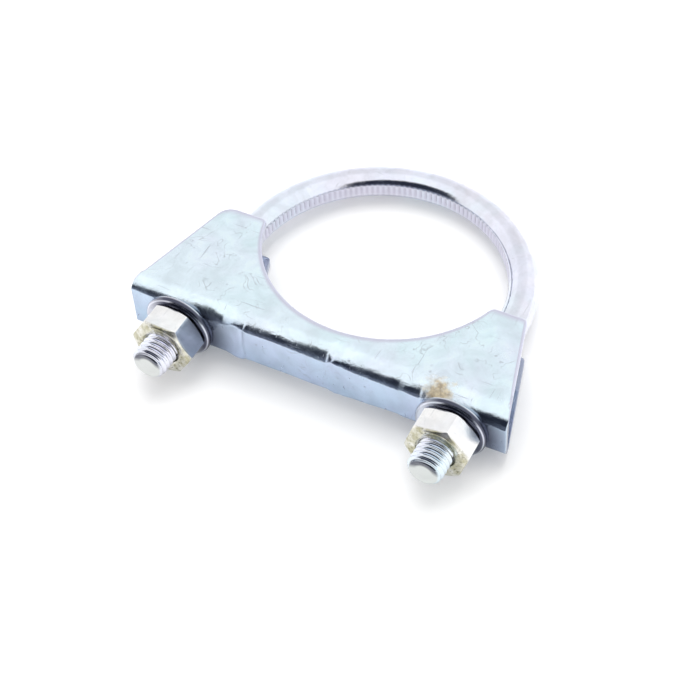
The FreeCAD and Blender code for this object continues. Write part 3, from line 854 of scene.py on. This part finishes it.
def nut_finish(colours):
    """The nuts' plating, with an oily film and specks in front and a shaded flat on the left nut."""
    material, tree, shader, shade, _ = plated(
        "Zinc on nut", colours, colours.nut, bright=0.13, dull=0.24, scratches=0.15, pits=0.3,
        stains=0.15, patch=120.0, bump=0.15, tint=0.15)
    place = object_place(tree)
    where = add(tree, "SeparateXYZ", {0: place}).outputs
    film = ramp(tree, noise(tree, place, 420.0, 4.0, 0.65), 0.32, 0.6, 0.25, 1.0)
    oil = mixed(tree, film, colour(colours.nut), colour(colours.oil))
    specks = ramp(tree, noise(tree, place, 1500.0, 3.0, 0.7), 0.56, 0.66, 0.0, 0.8)
    oil = mixed(tree, specks, oil, SPECK)
    right_flat = ramp(tree, where["X"], (3.9 - LEG_X) * MM, (4.4 - LEG_X) * MM, 0.0, 0.62)
    left_nut = ramp(tree, where["X"], 1.0 * MM, -1.0 * MM)
    shade = mixed(tree, product(tree, left_nut, right_flat), shade, SHADED_FLAT)
    front = ramp(tree, where["Y"], (NUT_LOW[1] + 0.9) * MM, (NUT_LOW[1] + 0.4) * MM)
    tree.links.new(mixed(tree, front, shade, oil), shader["Base Color"])
    return material


# What a user would change


def length(name, default, description):
    """A size in millimetres."""
    return bpy.props.FloatProperty(
        name=name, description=description, default=float(default), min=0.0, precision=2)


def angle(name, degrees, description):
    """An angle, its default given in degrees."""
    return bpy.props.FloatProperty(
        name=name, description=description, default=math.radians(degrees), subtype="ANGLE")


def paint(name, default, description):
    """A colour."""
    return bpy.props.FloatVectorProperty(
        name=name, description=description, default=default, subtype="COLOR", size=3, min=0.0, max=1.0)


class ClampSizes(bpy.types.PropertyGroup):
    """Sizes of the pieces, in millimetres."""

    rod: length("Rod", 7.0, "Diameter of the plain rod")
    thread: length("Thread", 7.9, "Outside diameter of the thread")
    thread_root: length("Thread root", 6.5, "Diameter at the bottom of the thread")
    pitch: length("Pitch", 1.25, "Distance between turns of the thread")
    thread_length: length("Thread length", 42.0, "Threaded stretch of each leg")
    end_dish: length("End dish", 0.14, "Depth of the dish in the end of each leg")
    pressed: length("Pressed flat", 0.28, "Depth of the flat pressed inside the bend")
    tooth_pitch: length("Tooth pitch", 1.25, "Distance between the teeth inside the bend")
    tooth_depth: length("Tooth depth", 0.28, "Depth of the grooves between the teeth")
    sheet: length("Sheet", 1.7, "Thickness of the saddle's sheet")
    fold: length("Fold", 2.8, "Outside radius of the saddle's folds")
    cutout: length("Cut-out", 29.3, "Radius of the cut-out for the pipe")
    cutout_shift: length("Cut-out shift", 1.6, "How far the cut-out lies to the right of the middle")
    waist: length("Waist", 7.0, "From the web's face to the bottom of the cut-out")
    ear_spread: length("Ear spread", LEG_X + 4.8, "From the middle to each ear's outer corner")
    left_ear: length("Left ear", SHEET_HIGH[1] - SHEET_LOW[1], "Height of the left ear over the web's face")
    right_ear: length("Right ear", 26.8, "Height of the right ear over the web's face")
    edge_roll: length("Edge roll", 0.45, "Rounding that the press left on the sheet's outer edges")
    mark_depth: length("Press marks", 1.0, "How strong the marks of the press are")
    sheet_wave: length("Sheet wave", 0.05, "How far web and folds stray from straight")
    hole: length("Hole", 8.9, "Diameter of the holes in the web")
    washer: length("Washer", WASHER_HIGH[0] - WASHER_LOW[0], "Outside diameter of the washers")
    nut: length("Nut", 13.0, "Spanner size of the nuts")
    left_turn: angle("Left nut turn", 58, "Angle of a corner of the left nut")
    right_turn: angle("Right nut turn", 72, "Angle of a corner of the right nut")


class ClampColours(bpy.types.PropertyGroup):
    """Colours of the plating and of the stage."""

    sheet: paint("Sheet", (0.79, 0.91, 0.99), "Plating of the saddle")
    rod: paint("Rod", (0.79, 0.79, 0.88), "Plating of the U-bolt and the washers")
    nut: paint("Nut", (0.99, 0.985, 0.985), "Plating of the nuts")
    cool: paint("Cool tint", (0.72, 0.92, 0.97), "Greenish blue patches of the plating")
    lilac: paint("Lilac tint", (0.81, 0.85, 0.99), "Lilac patches of the plating")
    edge: paint("Cut edge", (0.62, 0.60, 0.74), "Plating along the cut edges of the saddle")
    # the web's two tones are painted shade: they darken the web as the shadowed floor mirrored in it would
    web: paint("Web", (0.66, 0.68, 0.77), "Tone of the web at its top")
    web_low_shade: paint("Web below", (0.50, 0.54, 0.66), "Tone of the web at its bottom")
    end: paint("End", (0.60, 0.62, 0.60), "Cut ends of the legs")
    # painted shade in the saddle's channel
    inside: paint("Inside", (0.40, 0.44, 0.55), "Inner faces of the saddle")
    # the toothed strip's own duller tone; its mask is higher in the grooves, as painted shade
    grip_and_groove_shade: paint("Grip", (0.42, 0.40, 0.50), "Toothed strip inside the bend")
    # painted shade, not a real film: on the washers' fronts, on the web beside them and atop the legs' ends
    painted_shade: paint("Painted shade", (0.05, 0.055, 0.09), "Dark film on the washers and beside them")
    oil: paint("Nut face", (0.46, 0.44, 0.30), "Film on the front faces of the nuts")
    dirt: paint("Dirt", (0.64, 0.53, 0.33), "Spot of dirt on the saddle")
    floor: paint("Floor", (0.93, 0.93, 0.93), "Floor and background")


# Stage

# The floor's reach from the middle and its gap under the object, in millimetres
FLOOR_REACH = 3000.0
FLOOR_GAP = 0.02

# Colours of the room: its walls, the greyer place behind, the dark wall and its foot, and the floor's light
WHITE = (1, 1, 1, 1)
ROOM = (1.1, 1.1, 1.1, 1)
ROOM_BEHIND = (0.95, 0.95, 0.95, 1)
DARK_WALL = (0.02, 0.024, 0.04, 1)
WALL_FOOT = (0.18, 0.19, 0.23, 1)
FLOOR_LIGHT = (0.85, 0.85, 0.85, 1)

# The dark wall's edges: the tangents, from straight ahead, between which it fades, and those of its foot
WALL_RIGHT = (0.95, 1.5)
WALL_LEFT = (-0.66, -0.95)
WALL_TOP = (1.05, 1.5)
FOOT_TOP = (0.16, 0.36)

# The lamp: its place and size in metres and its power in watts
LAMP_PLACE = (-0.10, 0.26, 0.96)
LAMP_SIZE = 0.8
LAMP_POWER = 5.0

# The camera: its angles in radians, its place in the view's own directions in millimetres, and its lens
CAMERA_AZIMUTH = 0.52189
CAMERA_HEIGHT = 0.84544
CAMERA_ROLL = -0.05581
CAMERA_PLACE = (-5.662, -15.838, 353.15)
FOCAL_PIXELS = 1600.0
PICTURE_PIXELS = 700.0
SENSOR_WIDTH = 36.0


def floor_height(y):
    """The floor under the rims of the washers and the tips of the lower ears, which tilt it."""
    slope = (SHEET_LOW[2] - WASHER_LOW[2]) / (SHEET_HIGH[1] - SHEET_LOW[1])
    return WASHER_LOW[2] + slope * (y - WEB_FACE)


def floor_finish(colours):
    """A pale matt floor that keeps the object's shadow, and shows a little whiter than it is lit."""
    material, tree, shader = new_material("Pale floor")
    shader["Base Color"].default_value = colour(colours.floor)
    shader["Roughness"].default_value = 0.9
    shader["Specular IOR Level"].default_value = 0.1
    shader["Emission Color"].default_value = WHITE
    path = add(tree, "LightPath").outputs
    seen = maths(tree, "MAXIMUM", path["Is Camera Ray"], path["Is Glossy Ray"])
    away = add(tree, "VectorMath", {0: object_place(tree)}, operation="LENGTH").outputs["Value"]
    lift = product(tree, seen, ramp(tree, away, 0.15, 0.6, 0.12, 0.28))
    tree.links.new(lift, shader["Emission Strength"])
    return material


def studio_light(scene):
    """A white room with a dark wall in front, which the folds and the bend mirror, and one soft lamp.

    The room is a little greyer high up behind. Its wall in front of the clamp is dark up to a height of
    about 50 degrees, as the unlit side of a studio is, and lighter at its foot. The floor gets its light
    from the room and from the lamp, which hangs high behind on the left, so the shadow falls in front
    and to the right. What the camera sees of the room itself is plain white.
    """
    world = bpy.data.worlds.new("White room")
    scene.world = world
    world.use_nodes = True
    tree = world.node_tree
    way = add(tree, "TexCoord").outputs["Generated"]
    toward = add(tree, "SeparateXYZ", {0: way}).outputs
    ahead = maths(tree, "MAXIMUM", product(tree, toward["Y"], -1.0), 0.02)
    sideways = maths(tree, "DIVIDE", toward["X"], ahead)
    upwards = maths(tree, "DIVIDE", toward["Z"], ahead)
    right = ramp(tree, sideways, *WALL_RIGHT, 1.0, 0.0, "SMOOTHSTEP")
    left = ramp(tree, sideways, *WALL_LEFT, 1.0, 0.0, "SMOOTHSTEP")
    top = ramp(tree, upwards, *WALL_TOP, 1.0, 0.0, "SMOOTHSTEP")
    wall = mixed(tree, ramp(tree, upwards, *FOOT_TOP), WALL_FOOT, DARK_WALL)
    high_behind = Vector((-0.33, 0.575, 0.75)).normalized()
    behind = add(tree, "VectorMath", {0: way, 1: high_behind}, operation="DOT_PRODUCT").outputs["Value"]
    wide, narrow = math.cos(math.radians(33)), math.cos(math.radians(12))
    bright = mixed(tree, ramp(tree, behind, wide, narrow, kind="SMOOTHSTEP"), ROOM, ROOM_BEHIND)
    room = mixed(tree, product(tree, right, left, top), bright, wall)
    path = add(tree, "LightPath").outputs
    lit = mixed(tree, path["Is Diffuse Ray"], room, FLOOR_LIGHT)
    background = tree.nodes["Background"].inputs
    tree.links.new(mixed(tree, path["Is Camera Ray"], lit, WHITE), background["Color"])
    background["Strength"].default_value = 1.0
    lamp = bpy.data.lights.new("soft_lamp", "AREA")
    lamp.shape = "DISK"
    lamp.size = LAMP_SIZE
    lamp.energy = LAMP_POWER
    light = bpy.data.objects.new("soft_lamp", lamp)
    scene.collection.objects.link(light)
    light.location = LAMP_PLACE
    light.rotation_mode = "QUATERNION"
    light.rotation_quaternion = Vector(LAMP_PLACE).to_track_quat("Z", "Y")
    light.visible_glossy = False


def studio_camera(scene):
    """The photograph's view: from the nuts' side, 30 degrees to the right and 48 degrees up."""
    azimuth, height, roll = CAMERA_AZIMUTH, CAMERA_HEIGHT, CAMERA_ROLL
    level = math.cos(height)
    back = Vector((math.sin(azimuth) * level, -math.cos(azimuth) * level, math.sin(height)))
    right = Vector((math.cos(azimuth), math.sin(azimuth), 0.0))
    up = back.cross(right)
    side = right * math.cos(roll) + up * math.sin(roll)
    top = up * math.cos(roll) - right * math.sin(roll)
    data = bpy.data.cameras.new("camera")
    data.sensor_width = SENSOR_WIDTH
    data.lens = FOCAL_PIXELS * SENSOR_WIDTH / PICTURE_PIXELS
    data.clip_start, data.clip_end = 0.01, 20.0
    camera = bpy.data.objects.new("camera", data)
    scene.collection.objects.link(camera)
    place = (side * CAMERA_PLACE[0] + top * CAMERA_PLACE[1] + back * CAMERA_PLACE[2]) * MM
    camera.matrix_world = Matrix.Translation(place) @ Matrix((side, top, back)).transposed().to_4x4()
    scene.camera = camera


# Operators


class CLAMP_OT_u_bolt(bpy.types.Operator):
    """Build the U-bolt with its threads and its toothed bend"""

    bl_idname = "clamp.u_bolt"
    bl_label = "U-bolt"

    def execute(self, context):
        sizes, colours = context.scene.clamp_sizes, context.scene.clamp_colours
        placed("u_bolt_rod", u_bolt_mesh(sizes), "u_bolt", rod_finish(colours), "plated_rod", "u_bolt")
        return {"FINISHED"}


class CLAMP_OT_saddle(bpy.types.Operator):
    """Build the folded saddle with its press marks and its leg holes"""

    bl_idname = "clamp.saddle"
    bl_label = "Saddle"

    def execute(self, context):
        sizes, colours = context.scene.clamp_sizes, context.scene.clamp_colours
        finish = sheet_finish(colours)
        piece = placed("saddle_sheet", saddle_mesh(sizes), "saddle", finish, "plated_sheet", "saddle")
        punched(piece, sizes.hole / 2)
        return {"FINISHED"}


class CLAMP_OT_washers(bpy.types.Operator):
    """Build the two washers"""

    bl_idname = "clamp.washers"
    bl_label = "Washers"

    def execute(self, context):
        sizes, colours = context.scene.clamp_sizes, context.scene.clamp_colours
        finish = washer_finish(colours)
        for name, side in (("left", -1), ("right", 1)):
            mesh = washer_mesh(side, sizes)
            placed("washer_%s_disc" % name, mesh, "saddle", finish, "plated_washer", "washer_" + name)
        return {"FINISHED"}


class CLAMP_OT_nuts(bpy.types.Operator):
    """Build the two hexagon nuts"""

    bl_idname = "clamp.nuts"
    bl_label = "Nuts"

    def execute(self, context):
        sizes, colours = context.scene.clamp_sizes, context.scene.clamp_colours
        finish = nut_finish(colours)
        for name, side, turn in (("left", -1, sizes.left_turn), ("right", 1, sizes.right_turn)):
            mesh = nut_mesh(side, turn, sizes)
            placed("nut_%s_hexagon" % name, mesh, "nut_" + name, finish, "plated_nut", "nut_" + name)
        return {"FINISHED"}


class CLAMP_OT_stage(bpy.types.Operator):
    """Set up the floor, the light and the camera"""

    bl_idname = "clamp.stage"
    bl_label = "Stage"

    def execute(self, context):
        scene = context.scene
        corners = []
        for x, y in ((-1, -1), (1, -1), (1, 1), (-1, 1)):
            x, y = x * FLOOR_REACH, y * FLOOR_REACH
            corners.append((x * MM, y * MM, (floor_height(y) - FLOOR_GAP) * MM))
        mesh = bpy.data.meshes.new("floor")
        mesh.from_pydata(corners, [], [(0, 1, 2, 3)])
        floor = bpy.data.objects.new("floor", mesh)
        scene.collection.objects.link(floor)
        mesh.materials.append(floor_finish(scene.clamp_colours))
        studio_light(scene)
        studio_camera(scene)
        scene.view_settings.view_transform = "Standard"
        return {"FINISHED"}


class CLAMP_PT_panel(bpy.types.Panel):
    """The clamp's pieces, sizes and colours"""

    bl_idname = "CLAMP_PT_panel"
    bl_label = "Exhaust clamp"
    bl_space_type = "VIEW_3D"
    bl_region_type = "UI"
    bl_category = "Exhaust clamp"

    def draw(self, context):
        layout = self.layout
        for operator in OPERATORS:
            layout.operator(operator.bl_idname)
        for group in (context.scene.clamp_sizes, context.scene.clamp_colours):
            box = layout.box()
            for key in group.__annotations__:
                box.prop(group, key)


OPERATORS = (CLAMP_OT_u_bolt, CLAMP_OT_saddle, CLAMP_OT_washers, CLAMP_OT_nuts, CLAMP_OT_stage)
CLASSES = (ClampSizes, ClampColours) + OPERATORS + (CLAMP_PT_panel,)


def register():
    for item in CLASSES:
        bpy.utils.register_class(item)
    bpy.types.Scene.clamp_sizes = bpy.props.PointerProperty(type=ClampSizes)
    bpy.types.Scene.clamp_colours = bpy.props.PointerProperty(type=ClampColours)


def unregister():
    del bpy.types.Scene.clamp_colours
    del bpy.types.Scene.clamp_sizes
    for item in reversed(CLASSES):
        bpy.utils.unregister_class(item)


def main():
    register()
    bpy.ops.clamp.stage()
    bpy.ops.clamp.u_bolt()
    bpy.ops.clamp.saddle()
    bpy.ops.clamp.washers()
    bpy.ops.clamp.nuts()


if __name__ == "__main__":
    main()
